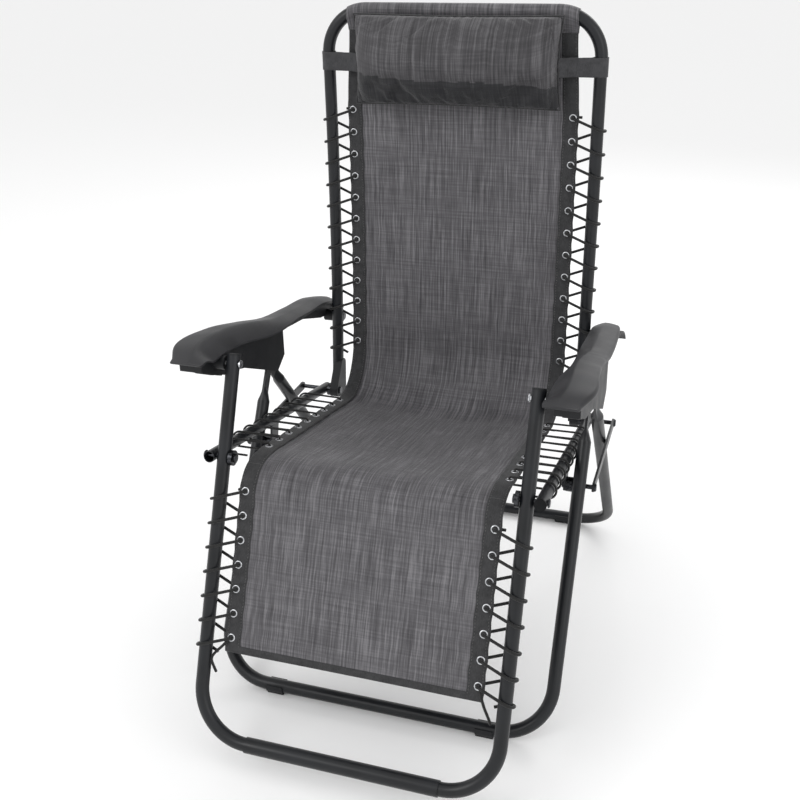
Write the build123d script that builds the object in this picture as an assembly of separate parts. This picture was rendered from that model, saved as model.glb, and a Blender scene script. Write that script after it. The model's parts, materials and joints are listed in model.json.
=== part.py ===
from build123d import *
import os
from math import atan, atan2, cos, degrees, hypot, radians, sin, sqrt

# Zero gravity recliner: folding steel-tube lounge chair with a laced mesh sling.
# Origin on the floor under the middle of the chair, +Z up, the sitter faces -Y.
# Sizes are in millimetres. Side parts are made once, on the +X side, and mirrored.

# ---- driving dimensions ----
TUBE_R = 11.0            # leg, footrest and back tubes
RAIL_R = 9.5             # seat rails
WALL = 1.2               # tube wall
SLEEVE_R = 12.7          # thicker joining tube of the footrest bar
PAD_T = 2.5              # plastic foot pads under the floor bars
PAD_LENGTH = 30.0
PAD_SOLE_W = 16.0

BACK_X = 246.0           # centre planes of the side tubes
RAIL_X = 267.3
FRONT_LEG_X = 292.6
REAR_LEG_X = 300.3
LINK_X = 314.5

APEX = (-25.0, 507.0)            # (y, z) of the bolt where front and rear legs cross
FOOTREST_HINGE = (-311.0, 463.0)
BACK_HINGE = (165.0, 370.0)
LEG_LINK = (58.3, 138.0)         # shared link vector: every short link is equal and parallel
FRONT_BAR_Y = -308.0             # floor bars
REAR_BAR_Y = 390.0
FOOTREST_BAR = (-487.5, 45.3)

BACK_TOP_Z = 1094.0
BACK_STRAIGHT_Z = 923.0          # the side tube is straight above this and curved below
BACK_STRAIGHT_Y = 220.0
BACK_CURVE_R = 4980.0
BACK_END_Z = 366.0
BACK_CORNER_R = 75.0
FRAME_CORNER_R = 85.0

TIP_LENGTH = 75.0        # flattened end of a leg tube, from the apex bolt
TIP_FLAT = 50.0
TIP_T = 4.0
TIP_W = 20.0
BOLT_R = 4.0
HOLE_GAP = 0.4           # radial play of a bolt in a moving hole
FIT_GAP = 0.05           # radial play of what is fixed in a hole
HEAD_R = 7.0             # bolt heads and nuts
HEAD_T = 3.0
SMALL_HEAD_R = 6.5
SMALL_HEAD_T = 2.0
PLATE_T = 4.0            # hangers and link bars
LUG_X = 289.2            # seat pivot lugs on the front legs
LUG_T = 14.6

# x spans of what lies across each pivot on the +X side
APEX_BOLT_X = (284.5, 306.5)
SEAT_PIVOT_BOLT_X = (265.2, 316.6)
BACK_HINGE_BOLT_X = (233.6, 316.6)
FOOTREST_BOLT_X = (227.5, 277.0)
FRONT_ARM_BOLT_X = (233.5, 280.0)
REAR_ARM_BOLT_X = (240.5, 280.0)
SEAT_PIVOT_BUSH_X = (269.7, 281.5)
BACK_HINGE_BUSH_X = (250.9, 257.4)
FOOTREST_BUSH_X = (228.0, 234.6)
ARM_BUSH_X = (251.5, 257.6)
LOCK_BLOCKS = ((285.0, 290.3, 15.0), (302.6, 306.4, 15.0), (294.7, 298.0, 9.0))   # low x, high x, radius
BUSH_R = 12.5
ARM_BUSH_R = 10.0

RAIL_OVER_REAR = 16.0    # seat rail past its hinges
RAIL_OVER_FRONT = 11.0
CAP_T = 3.0              # visible part of a tube end plug
PLUG_T = 5.5             # part of it inside the tube

SLING_T = 2.4
SLING_HALF = 213.0
GROMMET_X = 203.0
GROMMET_R = 6.6
GROMMET_HOLE_R = 4.2
GROMMET_T = 3.6
LACE_R = 2.4             # elastic cord of the back and footrest
SEAT_LACE_R = 1.8
LACE_GAP = 0.6           # between a cord and the tube it goes round
LACE_BEND_R = 4.6        # tight turn of a cord at an eyelet
LACE_EYE_H = 6.0         # height of a cord over the cloth at an eyelet
BACK_GROMMETS = 12
SEAT_GROMMETS = 9
FOOT_GROMMETS = 7
GROMMET_PITCH = 41.0
FOOT_PITCH = 39.5

FRONT_ARM_HINGE = (FOOTREST_HINGE[0] + LEG_LINK[0], FOOTREST_HINGE[1] + LEG_LINK[1])
REAR_ARM_HINGE = (BACK_HINGE[0] + LEG_LINK[0], BACK_HINGE[1] + LEG_LINK[1])
SEAT_PIVOT = (APEX[0] - LEG_LINK[0], APEX[1] - LEG_LINK[1])
FLOOR_BAR_Z = TUBE_R + PAD_T

FOOTREST_END = FOOTREST_BAR[0] - SLEEVE_R
ORIGIN_Y = (REAR_BAR_Y + FLOOR_BAR_Z + FOOTREST_END) / 2     # middle of the footprint

ARM_IN_X = 262.8         # inner edge of the armrest

nodes = {}


# ---- small helpers ----
def at(x, yz):
    return Vector(x, yz[0], yz[1])


def mirrored(shape):
    return shape.mirror(Plane.YZ)


def both_sides(shape):
    return Compound(children=[shape, mirrored(shape)])


def pair(name, shape):
    nodes[name + "_right"] = shape
    nodes[name + "_left"] = mirrored(shape)


def solids_of(shapes):
    return Compound(children=[s for shape in shapes for s in shape.solids()])


def pipe(path, radius):
    start = Plane(origin=path @ 0, z_dir=path % 0)
    return sweep(start * Circle(radius), path=path)


def hollow_pipe(path, radius, wall=WALL):
    start = Plane(origin=path @ 0, z_dir=path % 0)
    return sweep(start * (Circle(radius) - Circle(radius - wall)), path=path)


def bar_x(yz, x_low, x_high, radius):
    """Round bar along X between two x values."""
    return Pos(x_low, yz[0], yz[1]) * Rot(0, 90, 0) * Cylinder(
        radius, x_high - x_low, align=(Align.CENTER, Align.CENTER, Align.MIN))


def plate_x(outline, x_mid, thickness):
    """Plate of a (y, z) outline, standing across X."""
    plane = Plane(origin=(x_mid - thickness / 2, 0, 0), x_dir=(0, 1, 0), z_dir=(1, 0, 0))
    return extrude(plane * outline, thickness)


def bolt_x(yz, span, head_r=HEAD_R, head_t=HEAD_T):
    """Bolt along X with a domed head outside its span and a nut inside it."""
    x_low, x_high = span
    shank = bar_x(yz, x_low - head_t, x_high + head_t, BOLT_R)
    head = bar_x(yz, x_high, x_high + head_t, head_r)
    head = chamfer(head.edges().group_by(Axis.X)[-1], head_t * 0.5)
    nut = bar_x(yz, x_low - head_t, x_low, head_r)
    return shank + head + nut


def strap_between(a, b, half_width):
    """Round-ended (y, z) outline joining two points."""
    length = hypot(b[0] - a[0], b[1] - a[1])
    turn = degrees(atan2(b[1] - a[1], b[0] - a[0]))
    middle = ((a[0] + b[0]) / 2, (a[1] + b[1]) / 2)
    return Pos(*middle) * Rot(0, 0, turn) * SlotCenterToCenter(length, 2 * half_width)


def disc(yz, radius):
    return Pos(yz[0], yz[1]) * Circle(radius)


def back_tube_y(z):
    """Y of the back tube's middle at a height."""
    if z >= BACK_STRAIGHT_Z:
        return BACK_STRAIGHT_Y
    drop = BACK_STRAIGHT_Z - z
    return BACK_STRAIGHT_Y - (BACK_CURVE_R - sqrt(BACK_CURVE_R ** 2 - drop ** 2))


def along(a, b, distance):
    """Point at a distance from a towards b."""
    length = hypot(b[0] - a[0], b[1] - a[1])
    return (a[0] + (b[0] - a[0]) * distance / length, a[1] + (b[1] - a[1]) * distance / length)


# ---- leg frames ----
def leg_frame(x, bar_y):
    """U of tube from floor bar to both flattened ends on the apex bolt."""
    foot = (bar_y, FLOOR_BAR_Z)
    top = along(APEX, foot, TIP_LENGTH)
    path = FilletPolyline(at(x, top), at(x, foot), at(-x, foot), at(-x, top), radius=FRAME_CORNER_R)
    tube = hollow_pipe(path, TUBE_R)
    tip = leg_tip(x, foot)
    return tube + tip + mirrored(tip)


def leg_tip(x, foot):
    """Tube end squeezed flat, with a round end and the bolt hole."""
    direction = (at(x, APEX) - at(x, foot)).normalized()
    base = Plane(origin=at(x, along(APEX, foot, TIP_LENGTH)), x_dir=(1, 0, 0), z_dir=direction)
    neck = TIP_LENGTH - TIP_FLAT
    squeeze = loft([base * Circle(TUBE_R), base.offset(neck) * Rectangle(TIP_T, TIP_W)])
    flat = plate_x(strap_between(APEX, along(APEX, foot, TIP_FLAT), TIP_W / 2), x, TIP_T)
    past = base.offset(neck - 40) * Pos(0, 0, 20) * Box(3 * TIP_W, 3 * TIP_W, 40)
    flat = flat - past
    hole = bar_x(APEX, x - TIP_T, x + TIP_T, BOLT_R + HOLE_GAP)
    return squeeze + flat - hole


def foot_pads(x, bar_y):
    """Plastic half sleeves with flat soles under the two ends of a floor bar."""
    outer = x - FRAME_CORNER_R - 4
    inner = outer - PAD_LENGTH
    middle = (outer + inner) / 2
    ring = bar_x((bar_y, FLOOR_BAR_Z), inner, outer, TUBE_R + PAD_T)
    sole = Pos(middle, bar_y, 0) * Box(
        PAD_LENGTH, PAD_SOLE_W, FLOOR_BAR_Z, align=(Align.CENTER, Align.CENTER, Align.MIN))
    above = Pos(middle, bar_y, FLOOR_BAR_Z + 5) * Box(
        2 * PAD_LENGTH, 4 * TUBE_R, 4 * TUBE_R, align=(Align.CENTER, Align.CENTER, Align.MIN))
    tube = bar_x((bar_y, FLOOR_BAR_Z), inner - 1, x, TUBE_R)
    return both_sides(ring + sole - above - tube)


nodes["rear_leg_frame"] = leg_frame(REAR_LEG_X, REAR_BAR_Y)
nodes["rear_foot_pads"] = foot_pads(REAR_LEG_X, REAR_BAR_Y)
nodes["front_foot_pads"] = foot_pads(FRONT_LEG_X, FRONT_BAR_Y)


def seat_pivot_lug():
    """Lug welded behind the front leg for the seat pivot."""
    foot = (FRONT_BAR_Y, FLOOR_BAR_Z)
    on_tube = along(APEX, foot, hypot(*LEG_LINK))
    lug = plate_x(strap_between(on_tube, SEAT_PIVOT, 11), LUG_X, LUG_T)
    tube = Line(at(FRONT_LEG_X, along(APEX, foot, TIP_LENGTH + 5)), at(FRONT_LEG_X, along(APEX, foot, 240)))
    lug = (lug - pipe(tube, TUBE_R)).solids().sort_by(Axis.Y)[-1]
    return lug - bar_x(SEAT_PIVOT, LUG_X - LUG_T, LUG_X + LUG_T, BOLT_R + HOLE_GAP)


nodes["front_leg_frame"] = leg_frame(FRONT_LEG_X, FRONT_BAR_Y)
nodes["seat_pivot_lugs"] = both_sides(seat_pivot_lug())
nodes["apex_bolts"] = both_sides(bolt_x(APEX, APEX_BOLT_X, head_t=2.5))


def lock_block():
    """Plastic discs on the apex bolt: inside, outside and between the leg ends."""
    discs = [bar_x(APEX, low, high, radius) - bar_x(APEX, low - 1, high + 1, BOLT_R + FIT_GAP)
             for low, high, radius in LOCK_BLOCKS]
    return Compound(children=discs)


nodes["lock_blocks"] = both_sides(lock_block())


# ---- seat ----
def seat_point(distance):
    """(y, z) on the line from the back hinge forward to the footrest hinge."""
    return along(BACK_HINGE, FOOTREST_HINGE, distance)


SEAT_LENGTH = hypot(FOOTREST_HINGE[0] - BACK_HINGE[0], FOOTREST_HINGE[1] - BACK_HINGE[1])
SEAT_SLOPE = degrees(atan((FOOTREST_HINGE[1] - BACK_HINGE[1]) / (BACK_HINGE[0] - FOOTREST_HINGE[0])))


def seat_rail():
    """Straight rail, open at both ends, drilled for the hinge bolts."""
    path = Line(at(RAIL_X, seat_point(-RAIL_OVER_REAR)), at(RAIL_X, seat_point(SEAT_LENGTH + RAIL_OVER_FRONT)))
    rail = hollow_pipe(path, RAIL_R)
    for hinge in (BACK_HINGE, FOOTREST_HINGE):
        rail = rail - bar_x(hinge, RAIL_X - 20, RAIL_X + 20, BOLT_R + FIT_GAP)
    return rail


def rail_caps():
    """Plastic plugs in the ends of the seat rails."""
    caps = []
    for distance, way in ((-RAIL_OVER_REAR, -1), (SEAT_LENGTH + RAIL_OVER_FRONT, 1)):
        end = at(RAIL_X, seat_point(distance))
        outward = (at(0, FOOTREST_HINGE) - at(0, BACK_HINGE)).normalized() * way
        plane = Plane(origin=end, z_dir=outward)
        plug = extrude(plane * Circle(RAIL_R - WALL - FIT_GAP), -PLUG_T)
        caps.append(plug + extrude(plane * Circle(RAIL_R), CAP_T))
    return both_sides(solids_of(caps))


PIVOT_ALONG_SEAT = (BACK_HINGE[0] - SEAT_PIVOT[0]) * cos(radians(SEAT_SLOPE))


def link_hanger():
    """Flat plate welded under the rail that reaches down to the seat pivot."""
    behind, ahead = seat_point(PIVOT_ALONG_SEAT - 12), seat_point(PIVOT_ALONG_SEAT + 12)
    outline = make_hull([*disc(SEAT_PIVOT, 12).edges(), *disc(behind, 3).edges(), *disc(ahead, 3).edges()])
    plate = plate_x(outline, RAIL_X, PLATE_T)
    path = Line(at(RAIL_X, seat_point(PIVOT_ALONG_SEAT - 60)), at(RAIL_X, seat_point(PIVOT_ALONG_SEAT + 60)))
    plate = plate - pipe(path, RAIL_R)
    plate = plate.solids().sort_by(Axis.Z)[0]
    return plate - bar_x(SEAT_PIVOT, RAIL_X - PLATE_T, RAIL_X + PLATE_T, BOLT_R + FIT_GAP)


def link_bar():
    """Outer flat bar from the seat pivot to the back hinge."""
    bar = plate_x(strap_between(SEAT_PIVOT, BACK_HINGE, 8), LINK_X, PLATE_T)
    for hinge in (SEAT_PIVOT, BACK_HINGE):
        bar = bar - bar_x(hinge, LINK_X - PLATE_T, LINK_X + PLATE_T, BOLT_R + FIT_GAP)
    return bar


pair("seat_rail", seat_rail())
nodes["seat_rail_caps"] = rail_caps()
nodes["seat_hangers"] = both_sides(link_hanger())
pair("link_bar", link_bar())
nodes["seat_pivot_bolts"] = both_sides(bolt_x(SEAT_PIVOT, SEAT_PIVOT_BOLT_X))
nodes["back_hinge_bolts"] = both_sides(bolt_x(BACK_HINGE, BACK_HINGE_BOLT_X))
nodes["footrest_hinge_bolts"] = both_sides(bolt_x(FOOTREST_HINGE, FOOTREST_BOLT_X))


def bush(yz, span, radius=BUSH_R):
    """Thick washer on a bolt between two moving side parts."""
    return bar_x(yz, *span, radius) - bar_x(yz, span[0] - 1, span[1] + 1, BOLT_R + HOLE_GAP)


nodes["seat_pivot_bushes"] = both_sides(bush(SEAT_PIVOT, SEAT_PIVOT_BUSH_X))
nodes["back_hinge_bushes"] = both_sides(bush(BACK_HINGE, BACK_HINGE_BUSH_X))
nodes["footrest_hinge_bushes"] = both_sides(bush(FOOTREST_HINGE, FOOTREST_BUSH_X))
nodes["arm_hinge_bushes"] = both_sides(bush(REAR_ARM_HINGE, ARM_BUSH_X, ARM_BUSH_R))


# ---- back frame ----
BRACKET_X = 242.3
BRACKET_T = 16.4
BRACKET_TOP_Z = 415.0
EAR_X = 246.3
EAR_T = 9.4
EAR_R = 10.5


def back_side_path(x):
    """Side tube middle line, from the corner height down to the plugged end."""
    straight = Line((x, BACK_STRAIGHT_Y, BACK_TOP_Z - BACK_CORNER_R), (x, BACK_STRAIGHT_Y, BACK_STRAIGHT_Z))
    middle_z = (BACK_STRAIGHT_Z + BACK_END_Z) / 2
    curve = ThreePointArc(straight @ 1, (x, back_tube_y(middle_z), middle_z),
                          (x, back_tube_y(BACK_END_Z), BACK_END_Z))
    return straight, curve


def back_frame():
    """One bent tube: two side tubes and the top bar."""
    low_r, curve_r = back_side_path(BACK_X)
    low_l, curve_l = back_side_path(-BACK_X)
    top_r = Vector(BACK_X, BACK_STRAIGHT_Y, BACK_TOP_Z)
    top_l = Vector(-BACK_X, BACK_STRAIGHT_Y, BACK_TOP_Z)
    bow = FilletPolyline(low_r @ 1, top_r, top_l, low_l @ 1, radius=BACK_CORNER_R)
    path = Wire([curve_r, *bow.edges(), curve_l])
    start = Plane(origin=curve_r @ 1, z_dir=curve_r % 1)
    return sweep(start * (Circle(TUBE_R) - Circle(TUBE_R - WALL)), path=path)


def tube_core():
    """Solid bar along one side tube, for cutting what is clamped on it."""
    return pipe(back_side_path(BACK_X)[1], TUBE_R)


def back_bracket():
    """Moulded foot of the back tube, carrying the hinge to the seat rail."""
    low = (back_tube_y(BACK_END_Z), BACK_END_Z + 2)
    high = (back_tube_y(BRACKET_TOP_Z), BRACKET_TOP_Z)
    outline = make_hull([*disc(BACK_HINGE, 13.5).edges(), *disc(low, 13.5).edges(), *disc(high, 12.5).edges()])
    block = plate_x(outline, BRACKET_X, BRACKET_T) - tube_core()
    return block - bar_x(BACK_HINGE, BRACKET_X - BRACKET_T, BRACKET_X + BRACKET_T, BOLT_R + HOLE_GAP)


def arm_ear():
    """Lug clamped behind the back tube for the rear arm hinge."""
    on_tube = (back_tube_y(REAR_ARM_HINGE[1]), REAR_ARM_HINGE[1])
    outline = make_hull([*disc(on_tube, EAR_R).edges(), *disc(REAR_ARM_HINGE, EAR_R).edges()])
    ear = plate_x(outline, EAR_X, EAR_T) - tube_core()
    ear = ear.solids().sort_by(Axis.Y)[-1]
    return ear - bar_x(REAR_ARM_HINGE, EAR_X - EAR_T, EAR_X + EAR_T, BOLT_R + HOLE_GAP)


nodes["back_frame"] = back_frame()
nodes["back_brackets"] = both_sides(back_bracket())
nodes["arm_ears"] = both_sides(arm_ear())


# ---- footrest ----
FOOT_TUBE_OVER = 13.0    # footrest tube past the arm hinge
FOOT_TUBE_END = 110.0    # x where each half ends inside the joining sleeve
SLEEVE_HALF = 160.0


def foot_point(distance):
    """(y, z) on the footrest tube, measured down from its hinge."""
    return along(FOOTREST_HINGE, FOOTREST_BAR, distance)


def footrest_tube():
    """J-shaped tube from the arm hinge down and round to the middle of the bar."""
    top = foot_point(-hypot(*LEG_LINK) - FOOT_TUBE_OVER)
    path = FilletPolyline(at(BACK_X, top), at(BACK_X, FOOTREST_BAR), at(FOOT_TUBE_END, FOOTREST_BAR),
                          radius=FRAME_CORNER_R)
    tube = hollow_pipe(path, TUBE_R)
    tube = tube - bar_x(FOOTREST_HINGE, BACK_X - 20, BACK_X + 20, BOLT_R + HOLE_GAP)
    return tube - bar_x(FRONT_ARM_HINGE, BACK_X - 20, BACK_X + 20, BOLT_R + 2 * HOLE_GAP)


def footrest_caps():
    """Plastic plugs in the top ends of the footrest tubes."""
    top = foot_point(-hypot(*LEG_LINK) - FOOT_TUBE_OVER)
    plane = Plane(origin=at(BACK_X, top), z_dir=(at(0, FRONT_ARM_HINGE) - at(0, FOOTREST_HINGE)).normalized())
    plug = extrude(plane * Circle(TUBE_R - WALL - FIT_GAP), -PLUG_T)
    return both_sides(plug + extrude(plane * Circle(TUBE_R), CAP_T))


pair("footrest_tube", footrest_tube())
nodes["footrest_tube_caps"] = footrest_caps()
nodes["footrest_sleeve"] = (bar_x(FOOTREST_BAR, -SLEEVE_HALF, SLEEVE_HALF, SLEEVE_R)
                            - bar_x(FOOTREST_BAR, -SLEEVE_HALF - 1, SLEEVE_HALF + 1, TUBE_R))


# ---- armrests ----
ARM_TOP = [(-328, 628), (-300, 637), (-250, 640), (-190, 633), (-100, 611), (0, 582),
           (100, 567), (190, 556), (245, 537), (288, 507)]
ARM_OUTER = [(318, -318), (330, -290), (327, -205), (321, -110), (320, 0), (318, 100), (312, 200), (300, 288)]
ARM_SHELL_T = 13.0
HOUSING_X = 296.0
HOUSING_W = 38.0
HOUSING_WALL = 3.0
BOSS_X = (258.1, 280.0)
BOSS_R = 11.5
LEVER_PIVOT = (-158.0, 576.0)
LEVER_W = 24.0
LEVER_PIN_X = (277.0, 315.0)
LEVER_PIN_R = 3.0
GRIP_R = 7.0
GRIP_FIRST = (-274.0, 580.0)
GRIP_STEP = (27.0, -11.5)


def arm_curve(drop):
    """Side outline of the armrest top, lowered by a distance."""
    return Spline(*[(y, z - drop) for y, z in ARM_TOP])


def band(drop_high, drop_low):
    """(y, z) face between two lowered copies of the armrest outline."""
    high, low = arm_curve(drop_high), arm_curve(drop_low)
    return make_face([high, Line(high @ 1, low @ 1), low, Line(low @ 0, high @ 0)])


def armrest():
    """Curved plastic top, trimmed to its plan outline."""
    body = plate_x(band(0, ARM_SHELL_T), 300, 100)
    outer = Spline(*ARM_OUTER)
    plan = make_face([Line((ARM_IN_X, -322), ARM_OUTER[0]), outer,
                      Line(ARM_OUTER[-1], (ARM_IN_X, 288)), Line((ARM_IN_X, 288), (ARM_IN_X, -322))])
    return body & (Pos(0, 0, 400) * extrude(plan, 300))


def arm_housing():
    """Two side plates and a roof under the armrest, open below, with hinge bosses."""
    roof = arm_curve(ARM_SHELL_T)
    lower = Polyline((285, 490), REAR_ARM_HINGE, (190, 513), (100, 543), (8, 556), (8, 508), (-25, 488),
                     (-75, 511), (-156, 549), (-250, 576), (-300, 600), (-300, 610))
    side = make_face([Line(roof @ 1, lower @ 0), lower, Line(lower @ 1, roof @ 0), roof])
    side = side - Pos(-600, 0) * Rectangle(600, 3000)
    solid = plate_x(side, HOUSING_X, HOUSING_W)
    cavity = Pos(HOUSING_X, 52, 550) * Box(HOUSING_W - 2 * HOUSING_WALL, 696, 300)
    roof_keep = plate_x(band(ARM_SHELL_T, ARM_SHELL_T + HOUSING_WALL), HOUSING_X, HOUSING_W)
    behind = Pos(HOUSING_X + HOUSING_W / 2 + 15, 210, 500) * Box(100, 400, 300)
    housing = solid - cavity - behind + (roof_keep & solid)
    for hinge in (REAR_ARM_HINGE, FRONT_ARM_HINGE):
        housing = housing + bar_x(hinge, *BOSS_X, BOSS_R)
    housing = housing - plate_x(band(-40, ARM_SHELL_T), HOUSING_X, 3 * HOUSING_W)
    for hinge in (REAR_ARM_HINGE, FRONT_ARM_HINGE):
        housing = housing - bar_x(hinge, BOSS_X[0] - 5, BOSS_X[1] + 5, BOLT_R + FIT_GAP)
    return housing - bar_x(LEVER_PIVOT, LEVER_PIN_X[0] - 7, LEVER_PIN_X[1] + 5, LEVER_PIN_R + FIT_GAP)


def finger_lever():
    """Lock release lever with a scalloped grip, hung under the front of the armrest."""
    outline = Polyline((-288, 609), (-289, 596), (-262, 580), (-222, 562), (-182, 551), (-151, 568),
                       (-151, 584), (-200, 592), (-250, 604), close=True)
    low_x, high_x = HOUSING_X - LEVER_W / 2, HOUSING_X + LEVER_W / 2
    blade = plate_x(make_face(outline), HOUSING_X, LEVER_W) + bar_x(LEVER_PIVOT, low_x, high_x, 8)
    for step in range(4):
        groove = (GRIP_FIRST[0] + GRIP_STEP[0] * step, GRIP_FIRST[1] + GRIP_STEP[1] * step)
        blade = blade - bar_x(groove, low_x - 1, high_x + 1, GRIP_R)
    return blade - bar_x(LEVER_PIVOT, low_x - 1, high_x + 1, LEVER_PIN_R + HOLE_GAP)


pair("armrest", armrest())
pair("arm_housing", arm_housing())
pair("lock_lever", finger_lever())
nodes["lever_pins"] = both_sides(bar_x(LEVER_PIVOT, *LEVER_PIN_X, LEVER_PIN_R))
nodes["front_arm_bolts"] = both_sides(bolt_x(FRONT_ARM_HINGE, FRONT_ARM_BOLT_X, SMALL_HEAD_R, SMALL_HEAD_T))
nodes["rear_arm_bolts"] = both_sides(bolt_x(REAR_ARM_HINGE, REAR_ARM_BOLT_X, SMALL_HEAD_R, SMALL_HEAD_T))

# ---- sling: three laced panels of one mesh cloth ----
def back_frame_at(z):
    """(y, z) and outward rear normal of the back panel at a height."""
    rise = 4.0
    slope = (back_tube_y(z + rise) - back_tube_y(z - rise)) / (2 * rise)
    length = hypot(1, slope)
    return (back_tube_y(z), z), (1 / length, -slope / length)


def line_frame(start, end, distance, rear_sign):
    """(y, z) on a straight run and its unit normal on the hidden side of the cloth."""
    point = along(start, end, distance)
    length = hypot(end[0] - start[0], end[1] - start[1])
    run = ((end[0] - start[0]) / length, (end[1] - start[1]) / length)
    return point, (rear_sign * run[1], -rear_sign * run[0])


TOP_SLEEVE_T = 2.2
TOP_SLEEVE_HALF = 168.0
BACK_FIRST_Z = 920.0
BACK_LOW_Z = 462.0
SEAT_FIRST = PIVOT_ALONG_SEAT - 4 * GROMMET_PITCH
SEAT_CLOTH = (55.0, 442.0)
FOOT_CLOTH = (30.0, 309.0)
FOOT_FIRST = 49.5


def back_site(index):
    return back_frame_at(BACK_FIRST_Z - GROMMET_PITCH * index)


def seat_site(index):
    return line_frame(BACK_HINGE, FOOTREST_HINGE, SEAT_FIRST + GROMMET_PITCH * index, -1)


def foot_site(index):
    return line_frame(FOOTREST_HINGE, FOOTREST_BAR, FOOT_FIRST + FOOT_PITCH * index, -1)


def grommet_hole(site, radius, thickness):
    (y, z), normal = site
    plane = Plane(origin=(GROMMET_X, y, z), z_dir=(0, *normal))
    return extrude(plane * Circle(radius), thickness / 2, both=True)


def grommets(site, count):
    """Steel eyelets in both edges of a panel."""
    rings = []
    for index in range(count):
        ring = grommet_hole(site(index), GROMMET_R, GROMMET_T)
        rings.append(ring - grommet_hole(site(index), GROMMET_HOLE_R, 2 * GROMMET_T))
    return both_sides(solids_of(rings))


def punched(panel, site, count):
    for index in range(count):
        hole = grommet_hole(site(index), GROMMET_R, 4 * GROMMET_T)
        panel = panel - hole - mirrored(hole)
    return panel


def back_sling():
    """Back panel with the sleeve that holds the top bar."""
    half = SLING_T / 2
    sleeve_r = TUBE_R + TOP_SLEEVE_T
    low_z = BACK_LOW_Z
    top_z = BACK_TOP_Z - sleeve_r + 1.4
    middle_z = (BACK_STRAIGHT_Z + low_z) / 2
    edges = []
    for side in (-half, half):
        straight = Line((BACK_STRAIGHT_Y + side, top_z), (BACK_STRAIGHT_Y + side, BACK_STRAIGHT_Z))
        curve = ThreePointArc(straight @ 1, (back_tube_y(middle_z) + side, middle_z),
                              (back_tube_y(low_z) + side, low_z))
        edges += [straight, curve]
    ends = [Line(edges[0] @ 0, edges[2] @ 0), Line(edges[1] @ 1, edges[3] @ 1)]
    panel = plate_x(make_face(edges + ends), 0, 2 * SLING_HALF)
    corner = make_face(Polyline((TOP_SLEEVE_HALF, top_z + 5), (TOP_SLEEVE_HALF, 1081), (200, 1062),
                                (SLING_HALF + 1, 1040), (SLING_HALF + 1, top_z + 5), close=True))
    cutter = extrude(Plane.XZ * corner, -400)
    panel = panel - cutter - mirrored(cutter)
    bar = (BACK_STRAIGHT_Y, BACK_TOP_Z)
    sleeve = (bar_x(bar, -TOP_SLEEVE_HALF, TOP_SLEEVE_HALF, sleeve_r)
              - bar_x(bar, -TOP_SLEEVE_HALF - 1, TOP_SLEEVE_HALF + 1, TUBE_R + 0.6))
    return punched(panel + sleeve, back_site, BACK_GROMMETS)


def flat_panel(start, end, reach):
    """Flat stretch of cloth between two distances on a straight run."""
    low, high = along(start, end, reach[0]), along(start, end, reach[1])
    turn = degrees(atan2(high[1] - low[1], high[0] - low[0]))
    middle = ((low[0] + high[0]) / 2, (low[1] + high[1]) / 2)
    return plate_x(Pos(*middle) * Rot(0, 0, turn) * Rectangle(reach[1] - reach[0], SLING_T), 0, 2 * SLING_HALF)


nodes["back_sling"] = back_sling()
nodes["seat_sling"] = punched(flat_panel(BACK_HINGE, FOOTREST_HINGE, SEAT_CLOTH), seat_site, SEAT_GROMMETS)
nodes["footrest_sling"] = punched(flat_panel(FOOTREST_HINGE, FOOTREST_BAR, FOOT_CLOTH), foot_site, FOOT_GROMMETS)
nodes["back_grommets"] = grommets(back_site, BACK_GROMMETS)
nodes["seat_grommets"] = grommets(seat_site, SEAT_GROMMETS)
nodes["footrest_grommets"] = grommets(foot_site, FOOT_GROMMETS)


# ---- elastic lacing ----
def between(site_a, site_b):
    """Place half way between two sites, with the mean normal."""
    (ya, za), na = site_a
    (yb, zb), nb = site_b
    normal = Vector(na[0] + nb[0], na[1] + nb[1]).normalized()
    return ((ya + yb) / 2, (za + zb) / 2), (normal.X, normal.Y)


def raised(x, site, height):
    """3-D point at x, a height off the cloth on its hidden side."""
    (y, z), normal = site
    return Vector(x, y + normal[0] * height, z + normal[1] * height)


def lace(site, count, tube_x, tube_r, lace_r):
    """One elastic cord, in front of the cloth out round the tube and back through the next eyelet."""
    eye_x = GROMMET_X - 0.8
    eye_h = LACE_EYE_H
    wrap = tube_r + lace_r + LACE_GAP
    span = tube_x - eye_x
    tilt = atan2(eye_h, span)
    graze = atan2(wrap, sqrt(span ** 2 + eye_h ** 2 - wrap ** 2)) - tilt
    outer_h = eye_h + (span + wrap) * sin(graze) / cos(graze)
    points = [raised(eye_x + 16, site(0), eye_h)]
    radii = []
    for index in range(count):
        here = site(index)
        step = between(here, site(index + 1))
        points += [raised(eye_x, here, eye_h), raised(eye_x, here, -eye_h)]
        points += [raised(tube_x + wrap, step, -outer_h), raised(tube_x + wrap, step, outer_h)]
        radii += [LACE_BEND_R, LACE_BEND_R, wrap - 0.1, wrap - 0.1]
    points.append(raised(eye_x + 26, between(step, site(count)), eye_h + 3))
    path = FilletPolyline(*points, radius=radii)
    print(f"lace of radius {lace_r}: length {path.length:.0f}, arcs of radius {min(radii)} and {max(radii):.1f}")
    return pipe(path, lace_r)


pair("back_lace", lace(back_site, BACK_GROMMETS, BACK_X, TUBE_R, LACE_R))
pair("seat_lace", lace(seat_site, SEAT_GROMMETS, RAIL_X, RAIL_R, SEAT_LACE_R))
pair("footrest_lace", lace(foot_site, FOOT_GROMMETS, BACK_X, TUBE_R, LACE_R))


# ---- headrest ----
PILLOW_HALF = 185.0
PILLOW_Z = (934.0, 1093.0)
PILLOW_Y = (126.0, 212.0)
STRAP_Z = (990.0, 1022.0)
STRAP_T = 1.4
STRAP_GAP = 0.4


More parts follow.
